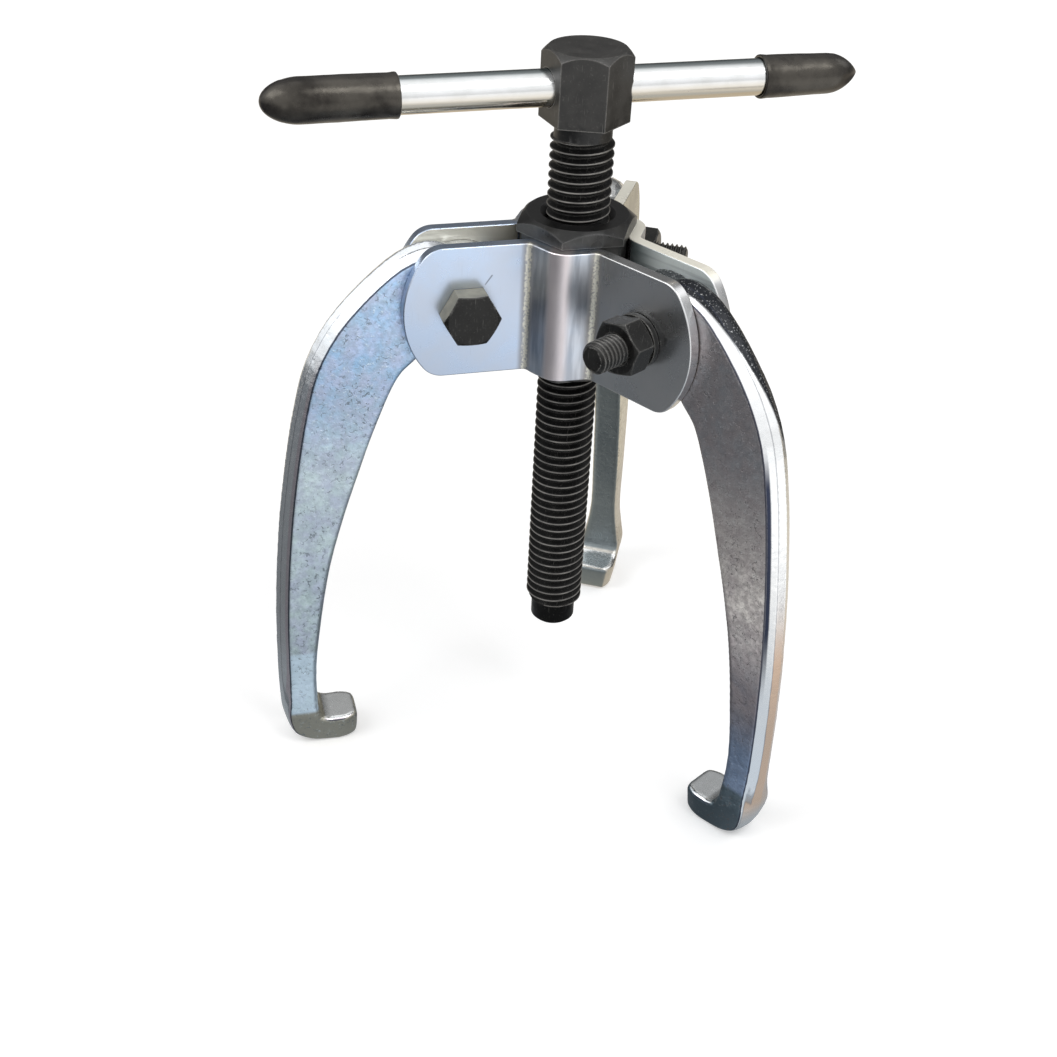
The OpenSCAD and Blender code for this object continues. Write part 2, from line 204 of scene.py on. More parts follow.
def ramp(net, value, low, high):
    """0 on low's side, 1 on high's side, and a smooth change between the two."""
    return put(net, "MapRange", {0: value, 1: low, 2: high},
               interpolation_type="SMOOTHSTEP").outputs[0]


def axes(net, vector):
    """The three parts of a vector."""
    return put(net, "SeparateXYZ", {0: vector}).outputs[:]


def vector_of(net, operation, a, b=(0, 0, 0)):
    """The number that a Vector Math node finds for one or two vectors."""
    return put(net, "VectorMath", {0: a, 1: b}, operation=operation).outputs["Value"]


def mapped(net, vector, **changes):
    """A vector with a new Scale, Rotation or Location."""
    return put(net, "Mapping", {"Vector": vector, **changes}).outputs[0]


def own_place(net, turn=0.0):
    """Places in millimetres on the piece, turned round the spindle by an angle."""
    return mapped(net, put(net, "TexCoord").outputs["Object"], Scale=(1000, 1000, 1000),
                  Rotation=(0, 0, math.radians(turn)))


def own_normal(net):
    """Which way a face looks."""
    return put(net, "TexCoord").outputs["Normal"]


def from_axis(net, place):
    """How far a place lies from the spindle's axis."""
    x, y, _ = axes(net, place)
    return vector_of(net, "LENGTH", put(net, "CombineXYZ", {0: x, 1: y}).outputs[0])


def noise_of(net, place, scale, detail, roughness=0.5):
    """Soft noise at a scale, with a number of finer layers."""
    return put(net, "TexNoise", {"Vector": place, "Scale": scale, "Detail": detail,
                                 "Roughness": roughness}).outputs[0]


# %% Colours
def grey(value):
    return (value, value, value)


def toned(colour, share):
    """A colour made darker or lighter, by a share of each of its three parts."""
    return tuple(share * part for part in colour)


def cover(net, base, colour, mask, most=1.0):
    """The base with a colour over it where a mask says, and by no more than a share."""
    if most < 1.0:
        mask = times(net, mask, most)
    return put(net, "Mix", {0: mask, 6: base, 7: colour}, data_type="RGBA").outputs[2]


def layered(net, colour, *layers):
    """A colour under others in turn, each with its mask and perhaps its greatest share."""
    for layer in layers:
        colour = cover(net, colour, *layer)
    return colour


# %% [markdown]
# ## Floor, world and lamps
# The picture's ground is plain white. The floor is a pale matt sheet that takes the
# tool's shadow. What polished steel shows is the room round it, and the upright
# faces of the tool mirror the ground. To rays that come off the metal the floor shows
# a painted reflection: dim on the left, bright on the right, warm at the back, and
# with four soft painted spots, one of them a painted shadow under the tool. That
# painted reflection gives one side of each arm its pale look and the other its dark one.

# %% Floor
FLOOR_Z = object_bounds()[0].z - 0.02 * MM

# Painted spots in the floor's reflection, one a painted shadow under the tool: middle, full and
# outer radius in millimetres, colour and share.
PAINTED_REFLECTION_SPOTS = (
    ((230, 270), 110, 190, grey(0.10), 0.9),
    ((10, -10), 26, 50, (0.10, 0.105, 0.11), 0.85),
    ((-14, -56), 8, 26, (0.84, 0.88, 0.92), 1.0),
    ((150, -50), 16, 32, (0.10, 0.11, 0.13), 0.6),
)


def make_floor():
    """A large pale sheet under the hooks, staged so that it isn't part of the tool."""
    bm = bmesh.new()
    bmesh.ops.create_grid(bm, x_segments=1, y_segments=1, size=3.0)
    bmesh.ops.translate(bm, vec=(0, 0, FLOOR_Z), verts=bm.verts)
    floor = new_object("floor", new_mesh("floor", bm))
    return floor


def painted_ground_reflection(net):
    """A painted reflection: the floor's tones by place, in millimetres, as the metal shows
    them.
    """
    place = own_place(net)
    y = axes(net, place)[1]
    across = axes(net, own_place(net, turn=13.3))[0]
    aslant = axes(net, own_place(net, turn=-13.3))[0]
    tone = layered(
        net, (0.180, 0.188, 0.198),
        ((0.72, 0.77, 0.82), ramp(net, aslant, -95, 30)),
        (grey(1.0), ramp(net, across, 82, 108)),
        (grey(1.4), ramp(net, across, 122, 145)),
        ((0.78, 0.71, 0.60), ramp(net, y, 8, 45)))
    for middle, full, none, colour, share in PAINTED_REFLECTION_SPOTS:
        away = vector_of(net, "DISTANCE", place, (*middle, FLOOR_Z / MM))
        tone = cover(net, tone, colour, ramp(net, away, none, full), share)
    return tone


def floor_material():
    """Matt and pale, lifted to white for the camera, and with a painted reflection for the
    metal.
    """
    material, net = new_material("pale floor")
    matt = put(net, "BsdfDiffuse", {"Color": grey(0.86)}).outputs[0]
    far = ramp(net, vector_of(net, "LENGTH", own_place(net)), 120, 900)
    lift = put(net, "Emission", {"Color": grey(1.0), "Strength": spread(net, far, 0.28, 0.60)})
    seen = put(net, "AddShader", {0: matt, 1: lift.outputs[0]}).outputs[0]
    painted_reflection = put(net, "Emission", {"Color": painted_ground_reflection(net), "Strength": 1.0}).outputs[0]
    last = by_ray(net, "Is Glossy Ray", painted_reflection, by_ray(net, "Is Camera Ray", seen, matt))
    put(net, "OutputMaterial", {"Surface": last})
    return material


floor = make_floor()
floor.data.materials.append(floor_material())
print("floor at", round(FLOOR_Z / MM, 2), "mm")

# %% World
def make_world():
    """A white room: plain to the camera, and brighter overhead in the metal."""
    world = bpy.data.worlds.new("white room")
    world.use_nodes = True
    net = world.node_tree
    net.nodes.clear()
    _, y, z = axes(net, put(net, "TexCoord").outputs["Generated"])
    ahead = cover(net, grey(0.8), grey(1.35), ramp(net, z, -0.2, 0.45))
    dusk = cover(net, grey(0.14), grey(0.42), ramp(net, z, 0.35, 0.65))
    behind = cover(net, dusk, grey(1.3), ramp(net, z, 0.80, 0.94))
    mirrored = cover(net, ahead, behind, ramp(net, y, 0.0, 0.5))
    plain, shine, room = (
        put(net, "Background", {"Color": colour, "Strength": strength}).outputs[0]
        for colour, strength in ((grey(1.0), 1.0), (mirrored, 1.0), (grey(1.0), 0.62)))
    last = by_ray(net, "Is Camera Ray", plain, by_ray(net, "Is Glossy Ray", shine, room))
    put(net, "OutputWorld", {"Surface": last})
    bpy.context.scene.world = world


make_world()

# %% Soft lamps
# Each lamp's place and size in metres, and its watts.
LAMPS = {
    "key_left": ((-0.38, -0.31, 0.52), 0.40, 1.3),
    "front_right": ((0.31, -0.17, 0.56), 0.26, 0.9),
    "right_rear": ((0.45, 0.35, 0.45), 0.35, 0.5),
}


def soft_lamp(name, place, size, watts):
    """A square lamp that looks at the middle of the tool."""
    data = bpy.data.lights.new(name, "AREA")
    data.size = size
    data.energy = watts
    lamp = new_object(name, data)
    lamp.location = place
    middle = Vector((0, 0, 40 * MM))
    lamp.rotation_euler = (middle - lamp.location).to_track_quat("-Z", "Y").to_euler()


for name, (place, size, watts) in LAMPS.items():
    soft_lamp(name, Vector(place), size, watts)
print("lamps:", len(LAMPS))

# %% [markdown]
# ## Effects that several finishes share
# Steel that has been handled looks alike whatever its coating: its edges are rubbed
# bright, its faces are faintly mottled, and fine scratches cross them. On the zinc
# plates the bright edge is a painted highlight. Each effect is a node group, built once
# and placed in each finish with its own numbers.

# %% Making a group
def new_group(name, inputs, outputs):
    """An empty node group, what it is given, and the node that takes its results."""
    group = bpy.data.node_groups.new(name, "ShaderNodeTree")
    for title, value in inputs.items():
        kind = "NodeSocketVector" if value is None else "NodeSocketFloat"
        socket = group.interface.new_socket(title, in_out="INPUT", socket_type=kind)
        if value is not None:
            socket.default_value = value
    for title in outputs:
        group.interface.new_socket(title, in_out="OUTPUT", socket_type="NodeSocketFloat")
    given = group.nodes.new("NodeGroupInput").outputs
    return group, given, group.nodes.new("NodeGroupOutput")


# %% Group: rubbed edges
def edge_group():
    """Where the surface turns sharply, broken up by noise as rubbing leaves it: edge wear on
    the oxide, a painted highlight on the zinc plates.
    """
    group, given, result = new_group(
        "edge wear and painted highlight", {"Place": None, "Reach": 0.0004, "Break up": 0.5}, ["Mask"])
    round_normal = put(group, "Bevel", {"Radius": given["Reach"]}, samples=6).outputs[0]
    flat_normal = put(group, "NewGeometry").outputs["Normal"]
    match = vector_of(group, "DOT_PRODUCT", round_normal, flat_normal)
    turn = math_of(group, "SUBTRACT", 1.0, match)
    patches = noise_of(group, given["Place"], 0.9, 4.0)
    kept = math_of(group, "SUBTRACT", 1.0, times(group, patches, given["Break up"]))
    fill(group, result, {"Mask": times(group, ramp(group, turn, 0.008, 0.09), kept)})
    return group


EDGES = edge_group()


def edge_wear_and_highlight(net, place, reach, break_up):
    """A mask of the edges within a reach in millimetres."""
    return put(net, "Group", {"Place": place, "Reach": reach * MM, "Break up": break_up},
               node_tree=EDGES).outputs["Mask"]


# %% Group: mottled coating
def mottle_group():
    """Soft patches and fine specks, as a thin coating shows over rolled steel."""
    group, given, result = new_group(
        "mottled coating", {"Place": None, "Patch size": 6.0, "Speck size": 0.5},
        ["Patches", "Specks"])
    for title, size, detail, roughness, low, high in (
            ("Patches", "Patch size", 5.0, 0.55, 0.32, 0.68),
            ("Specks", "Speck size", 3.0, 0.70, 0.58, 0.74)):
        scale = math_of(group, "DIVIDE", 1.0, given[size])
        found = noise_of(group, given["Place"], scale, detail, roughness)
        fill(group, result, {title: ramp(group, found, low, high)})
    return group


MOTTLE = mottle_group()


def mottled(net, place, patch_size, speck_size):
    """A mask of soft patches and one of fine specks, with their sizes in millimetres."""
    sizes = {"Patch size": patch_size, "Speck size": speck_size}
    return put(net, "Group", {"Place": place, **sizes}, node_tree=MOTTLE).outputs[:]


# %% Group: fine scratches
def scratch_group():
    """Thin lines in two directions, each only here and there."""
    group, given, result = new_group(
        "fine scratches", {"Place": None, "Amount": 0.5}, ["Mask"])
    found = []
    for tilt, seed in ((0.5, 3.0), (-0.9, 11.0)):
        drawn = mapped(group, given["Place"], Rotation=(tilt,) * 3, Location=(seed,) * 3,
                       Scale=(9.0, 0.35, 0.35))
        found.append(ramp(group, noise_of(group, drawn, 1.0, 2.0, 0.4), 0.70, 0.76))
    both = math_of(group, "MAXIMUM", *found)
    fill(group, result, {"Mask": times(group, both, given["Amount"])})
    return group


SCRATCHES = scratch_group()


def scratched(net, place, amount):
    """A mask of the scratches, which stays below an amount."""
    return put(net, "Group", {"Place": place, "Amount": amount},
               node_tree=SCRATCHES).outputs["Mask"]


# %% [markdown]
# ## Finish of the nut, bolts and spindle: black oxide
# These parts are steel, blackened in a hot salt bath and oiled. The coat is thin, so
# the shape stays crisp, faces have a soft gloss, and edges and thread crests rub
# through to grey steel. Oil darkens the thread and the foot of the head, and in the
# thread's hollows the shine is turned down as painted shade.

# %% Black oxide
def black_oxide(name, dark, worn, roughness, tint=(1, 1, 1), metal=0.35, gloss=0.5,
                crests=None):
    """Blackened steel: a dark tone, a worn tone at its edges, and rubbed crests."""
    material, net = new_material(name)
    place = own_place(net)
    patches, specks = mottled(net, place, 3.0, 0.35)
    steel = toned(tint, worn)
    base = cover(net, toned(tint, 0.75 * dark), toned(tint, 1.3 * dark), patches)
    rubbed = times(net, edge_wear_and_highlight(net, place, 0.35, 0.6), 0.8)
    if crests:
        crest_low, crest_high, top = crests
        z = axes(net, place)[2]
        crest = ramp(net, from_axis(net, place), crest_low, crest_high)
        below = ramp(net, z, top, top - 0.4)
        oiled = ramp(net, plus(net, patches, 1.6, z), top + 4.6, top + 2.8)
        base = cover(net, base, grey(0.2 * dark), oiled)
        hollow = math_of(net, "SUBTRACT", below, crest, clamp=True)
        # Painted shade: the thread's hollows lose their shine.
        gloss = spread(net, hollow, gloss, 0.12)
        broken = times(net, times(net, crest, below), spread(net, patches, 0.25, 0.8))
        rubbed = math_of(net, "MAXIMUM", rubbed, broken)
    colour = cover(net, base, steel, specks, 0.14)
    wear = math_of(net, "MAXIMUM", rubbed, scratched(net, place, 0.22))
    end_in_shader(net, cover(net, colour, steel, wear),
                  spread(net, patches, roughness - 0.06, roughness + 0.06), metal, specks,
                  gloss=gloss)
    return material


OXIDE_HEAD = black_oxide("black oxide, spindle", 0.027, 0.32, 0.40, (1.0, 0.96, 0.90),
                         metal=0.2, crests=(4.80, 4.95, 89.5))
OXIDE_NUT = black_oxide("black oxide, nut face", 0.010, 0.12, 0.36)
OXIDE_FLATS = black_oxide("black oxide, nut flats", 0.050, 0.28, 0.32, (1.0, 1.0, 0.98),
                          metal=0.5)
OXIDE_BOLT = black_oxide("black oxide, bolts", 0.013, 0.34, 0.30, (1.0, 0.98, 0.93),
                         gloss=0.34)
# Painted light: the flats of the bolt heads that look up get a pale cream oxide.
PAINTED_LIGHT_FLATS = black_oxide("oxide with painted light, bolt flats", 0.30, 0.52, 0.38, (1.0, 0.90, 0.66),
                           metal=0.6)

# %% [markdown]
# ## Finish of the plates: bright zinc
# The plates are cut from flat strip, folded and plated with bright zinc. Their tints,
# blue in one place and straw yellow in another, are partly the zinc's clear coat and
# partly painted reflection. They are satin smooth, with a painted highlight along every
# cut edge. Along each inward fold the zinc is rougher and bumped, with a pale speckled
# painted highlight and a border of painted shade.

# %% Marks on a plate
# In millimetres on a plate: where its fold stands, and a nick's two ends and its width.
FOLD_LINE = (5.30, -8.70, 0.0)
NICK = ((-11.2, -12.0, 68.5), (-10.3, -11.55, 69.9), 0.18)


def on_line(net, place, start, end, wide):
    """1 on a short straight mark between two places, 0 off it."""
    start, run = Vector(start), Vector(end) - Vector(start)
    from_start = put(net, "VectorMath", {0: place, 1: start}, operation="SUBTRACT").outputs[0]
    along = vector_of(net, "DOT_PRODUCT", from_start, run)
    share = math_of(net, "DIVIDE", along, run.length_squared, clamp=True)
    foot = put(net, "VectorMath", {0: run, "Scale": share}, operation="SCALE").outputs[0]
    return ramp(net, vector_of(net, "DISTANCE", from_start, foot), wide, 0.4 * wide)


def painted_nose_reflection(net, film_and_reflection, place, nose, beside):
    """The tint on the plate's nose with painted reflection: upright smears, and a rosy line
    down its middle.
    """
    upright = noise_of(net, mapped(net, place, Scale=(1.1, 1.1, 0.12)), 1.0, 3.0)
    smears = cover(net, (0.36, 0.39, 0.44), (0.62, 0.66, 0.72),
                   ramp(net, upright, 0.36, 0.64))
    apex = times(net, nose, ramp(net, beside, 2.4, 1.0))
    return layered(net, film_and_reflection, (smears, nose, 0.75), ((0.90, 0.80, 0.80), apex, 0.8))


# %% Zinc plate
def zinc_plate(name, turn, left_tint, right_tint, nick=None, painted_top_light=False):
    """Zinc on folded strip. The tints, partly the zinc's own and partly painted reflection, lie
    left and right of the plate's own middle.
    """
    material, net = new_material(name)
    place = own_place(net, turn)
    x, y, _ = axes(net, place)
    beside = math_of(net, "ABSOLUTE", x)
    patches, specks = mottled(net, place, 7.0, 0.4)
    nose = times(net, ramp(net, beside, 5.2, 4.4), ramp(net, y, -8.4, -8.9))
    film_and_reflection = cover(net, left_tint, right_tint, ramp(net, x, 2.0, 6.5))
    folded = put(net, "CombineXYZ", {0: beside, 1: y}).outputs[0]
    away = vector_of(net, "DISTANCE", folded, FOLD_LINE)
    border = ramp(net, away, 1.5, 0.5)
    ragged = noise_of(net, place, 2.6, 5.0, 0.65)
    crowded = plus(net, ramp(net, away, 1.05, 0.2), 0.30, ragged)
    fold_highlight = times(net, ramp(net, crowded, 0.66, 0.80), ramp(net, away, 0.95, 0.35))
    scored = scratched(net, place, 0.12)
    if nick:
        cut = times(net, on_line(net, place, *nick), 0.7)
        scored = math_of(net, "MAXIMUM", scored, cut)
    # Over the tints come painted reflection on the nose, patches, painted shade on the fold's
    # border, a painted highlight along the fold, scratches, and a painted highlight on the
    # edges.
    colour = layered(
        net, painted_nose_reflection(net, film_and_reflection, place, nose, beside),
        ((0.62, 0.58, 0.55), patches, 0.25),
        ((0.27, 0.245, 0.22), border, 0.62),
        ((0.80, 0.78, 0.68), fold_highlight, 0.85),
        ((0.12, 0.13, 0.15), scored),
        ((0.92, 0.93, 0.93), edge_wear_and_highlight(net, place, 0.30, 0.3), 0.8))
    metallic = 1.0
    # Painted light: faces that look up turn pale cream and less metallic.
    if painted_top_light:
        pale = ramp(net, axes(net, own_normal(net))[2], 0.6, 0.9)
        colour = cover(net, colour, (0.94, 0.91, 0.80), pale)
        metallic = spread(net, pale, 1.0, 0.2)
    rough = plus(net, border, 0.2, spread(net, patches, 0.25, 0.32))
    rough = plus(net, nose, 0.08, rough)
    relief = plus(net, times(net, ragged, border), 2.0, specks)
    end_in_shader(net, colour, rough, metallic, relief)
    return material


# Tints that are partly the zinc's own coat and partly painted reflection.
BLUE_FILM_AND_REFLECTION = (0.47, 0.57, 0.73)
GREY_FILM_AND_REFLECTION = (0.60, 0.61, 0.62)
STRAW_FILM_AND_REFLECTION = (0.66, 0.64, 0.54)
ZINC_PLATES = {
    "front": zinc_plate("zinc, front plate", 0, BLUE_FILM_AND_REFLECTION, GREY_FILM_AND_REFLECTION, nick=NICK),
    "right": zinc_plate("zinc, right plate", -120, GREY_FILM_AND_REFLECTION, STRAW_FILM_AND_REFLECTION, painted_top_light=True),
    "left": zinc_plate("zinc, left plate", 120, STRAW_FILM_AND_REFLECTION, BLUE_FILM_AND_REFLECTION),
}

# %% Zinc between the wings
def inner_zinc(name, near, far):
    """Zinc on inner faces: painted shade near the nut, and far out a painted reflection in
    bands that change with height.
    """
    material, net = new_material(name)
    place = own_place(net)
    patches, _ = mottled(net, place, 5.0, 0.4)
    drawn = mapped(net, place, Scale=(0.05, 0.05, 0.8))
    reflection_band = ramp(net, noise_of(net, drawn, 1.0, 2.0), 0.42, 0.60)
    out_of_shade = ramp(net, from_axis(net, place), 9.0, 17.0)
    colour = layered(
        net, near,
        (far, times(net, out_of_shade, spread(net, reflection_band, 0.55, 1.0))),
        (toned(far, 0.6), patches, 0.25),
        (grey(0.15), scratched(net, place, 0.2)))
    end_in_shader(net, colour, spread(net, patches, 0.40, 0.52), 0.45)
    return material


# Near tones are painted shade between the wings; far tones and bands are painted reflection.
STRAW_INSIDE = inner_zinc("zinc, straw inner faces", (0.30, 0.28, 0.23),
                          (0.96, 0.94, 0.84))
TEAL_INSIDE = inner_zinc("zinc, teal inner faces", (0.06, 0.09, 0.10),
                         (0.92, 1.00, 1.00))
INSIDES = {"front": STRAW_INSIDE, "right": TEAL_INSIDE, "left": STRAW_INSIDE}

# %% [markdown]
# ## Finish of the arms: zinc over a forging
# The arms are drop forged, so their skin is uneven, with small pits where scale was
# pressed in. The same zinc covers it. Pits hold dirt and look dark, and high spots
# are speckled bright. The tones change with height and from arm to arm, the zinc's
# colour with painted reflection and painted shade in it. An arm's back is a ridge
# between two chamfers, rubbed smooth and given a painted highlight, with painted shade
# in the turns between its faces and a painted reflection tone on its outer chamfers.
# A face is told by its normal, which the modelled shape turns, so the masks follow
# the real chamfers.

# %% Masks on an arm
def arm_masks(net, turn, x):
    """Masks of the back, its outer flanks and the painted shade in its turns, and two parts of
    the normal.
    """
    normal = put(net, "VectorRotate", {"Vector": own_normal(net),
                                       "Angle": math.radians(turn)}, rotation_type="Z_AXIS")
    side, inward, up = axes(net, normal.outputs[0])
    aside = math_of(net, "ABSOLUTE", side)
    outer = ramp(net, plus(net, up, 0.6, times(net, inward, -1.0)), 0.0, 0.2)
    back = times(net, outer, ramp(net, aside, 0.82, 0.77))
    chamfer = times(net, back, ramp(net, aside, 0.54, 0.60))
    flank = times(net, chamfer, ramp(net, math_of(net, "ABSOLUTE", x), 2.05, 2.25))
    corner = times(net, ramp(net, aside, 0.75, 0.82), ramp(net, aside, 0.98, 0.93))
    fold = times(net, ramp(net, aside, 0.42, 0.48), ramp(net, aside, 0.60, 0.54))
    crease_shade = times(net, outer, plus(net, fold, 0.5, corner))
    return back, flank, crease_shade, aside, inward


def stains(net, x, z, back, aside, inward, ragged):
    """Masks of a tan tone low on the ridge and of the black stain high on the back."""
    ridge = times(net, times(net, ramp(net, aside, 0.54, 0.44), back),
                  ramp(net, inward, -0.2, -0.4))
    low = times(net, ramp(net, z, 32.0, 16.0), ramp(net, z, -17.5, -11.0))
    tapered = ramp(net, plus(net, z, 0.15, x), 8.6, 9.0)
    high = times(net, tapered, ramp(net, plus(net, ragged, 5.0, z), 54.0, 59.5))
    return times(net, low, ridge), times(net, high, back)


# %% Zinc over a forging
def forged_zinc(name, turn, zinc_and_light_tones, dull, tinge, rim, rim_at, ankle=(7.0, 4.0),
                foot=(-9.4, -10.6), flecked=0.5, inward_shade=None, stained=False):
    """Zinc on forged steel. Its tones, the zinc's colour with painted reflection and painted
    shade in them, lie on its top, limb, shank, ankle and foot.
    """
    material, net = new_material(name)
    place = own_place(net, turn)
    x, _, z = axes(net, place)
    back, flank, crease_shade, aside, inward = arm_masks(net, turn, x)
    moved = mapped(net, place, Location=(31.0, 17.0, 9.0))
    clouds, _ = mottled(net, place, 4.5, 0.6)
    grain, crumbs = mottled(net, place, 0.8, 0.3)
    blushes, flecks = mottled(net, moved, 2.2, 0.8)
    ragged = noise_of(net, place, 1.3, 4.0)
    curl = math_of(net, "SUBTRACT", noise_of(net, moved, 0.8, 3.0), 0.5)
    crowd = times(net, ramp(net, ragged, 0.52, 0.60), spread(net, clouds, 0.2, 1.0))
    pit = times(net, ramp(net, math_of(net, "ABSOLUTE", curl), 0.042, 0.014), crowd)
    reached = times(net, ramp(net, z, *rim_at[:2]), ramp(net, z, *rim_at[2:]))
    # Tones by height carry painted reflection and painted shade, the ankle and foot tones
    # included. Last come a painted highlight on the back and a painted reflection tone on the
    # outer chamfers.
    colour = layered(
        net, zinc_and_light_tones[0],
        (zinc_and_light_tones[1], ramp(net, z, 52.0, 34.0)),
        (zinc_and_light_tones[2], ramp(net, z, 26.0, 8.0)),
        (dull, clouds, 0.5),
        (tinge, blushes, 0.5),
        (toned(dull, 0.7), grain, 0.4),
        (zinc_and_light_tones[3], ramp(net, z, *ankle), 0.75),
        (zinc_and_light_tones[4], ramp(net, z, *foot), 0.85),
        ((0.86, 0.96, 1.0), flecks, flecked),
        (toned(dull, 0.4), crumbs, 0.45),
        (toned(dull, 0.4), pit, 0.8),
        ((0.84, 0.86, 0.87), back, 0.85),
        (rim, times(net, flank, reached)))
    metallic, gloss = 1.0, 0.5
    # Painted shade on the faces that look in towards the spindle.
    if inward_shade:
        colour = cover(net, colour, inward_shade, ramp(net, inward, 0.6, 0.85), 0.85)
    if stained:
        tan, black = stains(net, x, z, back, aside, inward, ragged)
        speckled = times(net, black, math_of(net, "SUBTRACT", 1.0, times(net, crumbs, 0.9)))
        colour = layered(net, colour, ((0.62, 0.46, 0.35), tan),
                         ((0.018, 0.020, 0.024), speckled))
        metallic, gloss = spread(net, black, 1.0, 0.15), spread(net, black, 0.5, 0.10)
    # Painted shade in the turns between the back's faces.
    colour = cover(net, colour, (0.045, 0.050, 0.075), crease_shade, 0.9)
    rough = plus(net, back, -0.12, spread(net, grain, 0.28, 0.42))
    rugged = plus(net, pit, -1.5, plus(net, grain, 0.8, flecks))
    relief = times(net, rugged, spread(net, back, 1.0, 0.35))
    end_in_shader(net, colour, rough, metallic, relief, strength=0.5, depth=0.04, gloss=gloss)
    return material


# Per arm: five tones from top to foot, with painted reflection and painted shade in them, then
# the rim tone, a painted reflection tone for the outer chamfers.
FORGED = {
    "left": forged_zinc(
        "zinc, left forging", 60,
        ((0.40, 0.62, 0.88), (0.86, 1.00, 1.00), (0.58, 0.70, 0.68),
         (0.72, 0.88, 1.00), (0.42, 0.38, 0.28)),
        dull=(0.48, 0.56, 0.64), tinge=(0.64, 0.64, 0.86),
        rim=(0.72, 0.66, 0.70), rim_at=(58.0, 48.0, -30.0, -20.0),
        ankle=(-0.4, -1.2), foot=(-13.0, -13.8)),
    "right": forged_zinc(
        "zinc, right forging", -60,
        ((0.50, 0.50, 0.52), (0.98, 0.90, 0.82), (0.22, 0.21, 0.25),
         (0.32, 0.45, 0.66), (0.12, 0.16, 0.17)),
        dull=(0.46, 0.42, 0.42), tinge=(0.48, 0.40, 0.40),
        rim=(0.035, 0.042, 0.07), rim_at=(56.0, 48.0, 8.0, 24.0),
        ankle=(8.0, -4.0), flecked=0.15, stained=True),
    "rear": forged_zinc(
        "zinc, rear forging", 180,
        ((0.96, 0.93, 0.76), (0.90, 0.88, 0.78), (0.80, 0.78, 0.72),
         (0.60, 0.60, 0.58), (0.52, 0.50, 0.46)),
        dull=(0.70, 0.68, 0.60), tinge=(0.72, 0.72, 0.70),
        rim=(0.84, 0.84, 0.80), rim_at=(58.0, 48.0, -30.0, -20.0),
        flecked=0.2, inward_shade=(0.18, 0.22, 0.24)),
}

# %% [markdown]
# ## Finishes of the bar, its caps and the ball
# The bar is bright drawn rod with zinc on it, finely streaked along its length, with
# a painted grey reflection on the side that looks up and a painted tan one below. The
# caps are vinyl, dipped and cured on the bar: dull black, slightly greyed by handling.
# The ball is hardened and polished.

# %% Bar, vinyl and bearing steel
# The bar's angle from +X, and the side of it that looks up and back, which takes a painted grey
# reflection.
BAR_TURN = 31.9
BAR_TOP = (-0.13, 0.54, 0.83)


def bright_bar():
    """Drawn rod, with painted reflection told by how far a face looks up and back: grey above,
    tan below.
    """
    material, net = new_material("zinc, sliding bar")
    place = own_place(net)
    patches, specks = mottled(net, place, 4.0, 0.4)
    along = mapped(net, place, Scale=(0.25, 0.25, 5.0),
                   Rotation=(0, 0, math.radians(-BAR_TURN)))
    drawn = noise_of(net, along, 1.0, 3.0)
    high = vector_of(net, "DOT_PRODUCT", own_normal(net), BAR_TOP)
    # Painted reflection: grey where a face looks up and back, tan where it looks down.
    colour = layered(
        net, (0.72, 0.73, 0.74),
        ((0.58, 0.59, 0.58), patches, 0.5),
        (grey(0.42), ramp(net, drawn, 0.62, 0.72), 0.12),
        ((0.30, 0.35, 0.36), ramp(net, high, 0.30, 0.78)),
        ((0.60, 0.54, 0.44), ramp(net, high, -0.30, -0.85)))
    end_in_shader(net, colour, spread(net, specks, 0.2, 0.3), 1.0, drawn, strength=0.06)
    return material


def dipped_vinyl():
    """Black vinyl with a warm sheen that handling has smeared."""
    material, net = new_material("black vinyl")
    place = own_place(net)
    patches, specks = mottled(net, place, 2.5, 0.3)
    smears = ramp(net, noise_of(net, place, 1 / 6.5, 5.0, 0.55), 0.32, 0.68)
    colour = layered(net, (0.006, 0.005, 0.006),
                     ((0.018, 0.016, 0.015), patches),
                     ((0.10, 0.09, 0.08), specks, 0.2))
    end_in_shader(net, colour, spread(net, patches, 0.24, 0.36), 0.0,
                  noise_of(net, place, 0.8, 4.0), strength=0.3, depth=0.08,
                  gloss=spread(net, smears, 0.85, 0.22), sheen=(1.0, 0.93, 0.80))
    return material


def bearing_steel():
    """Polished steel with faint scratches."""
    material, net = new_material("bearing steel")
    place = own_place(net)
    patches, specks = mottled(net, place, 1.5, 0.2)
    colour = layered(net, (0.62, 0.62, 0.63), (grey(0.70), patches),
                     (grey(0.4), scratched(net, place, 0.4)))
    end_in_shader(net, colour, spread(net, specks, 0.12, 0.22), 1.0)
    return material


BRIGHT_BAR = bright_bar()
VINYL = dipped_vinyl()
BALL_STEEL = bearing_steel()
print("finishes:", len(bpy.data.materials))

# %% [markdown]
# ## From a solid to a piece
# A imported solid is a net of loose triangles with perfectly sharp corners. Real edges
# are broken by the tool or the press, and that small round is what catches light. So
# a copy of the solid is merged, its flat faces are made whole, and its sharp edges
# get a narrow bevel. The copy then stands for the solid.

# %% Helpers that make a piece
MERGED, FLAT, SHARP = 0.002 * MM, math.radians(0.6), math.radians(28)


def welded_copy(node):
    """A solid's mesh with its doubles merged."""
    bm = bmesh.new()
    bm.from_mesh(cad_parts[node].data)
    bmesh.ops.remove_doubles(bm, verts=bm.verts, dist=MERGED)
    return bm


def merged_copy(node):
    """A solid's mesh with its doubles merged and its flat faces made whole."""
    bm = welded_copy(node)
    bmesh.ops.dissolve_degenerate(bm, edges=bm.edges, dist=MERGED)
    bmesh.ops.dissolve_limit(bm, angle_limit=FLAT, verts=bm.verts, edges=bm.edges)
    return bm


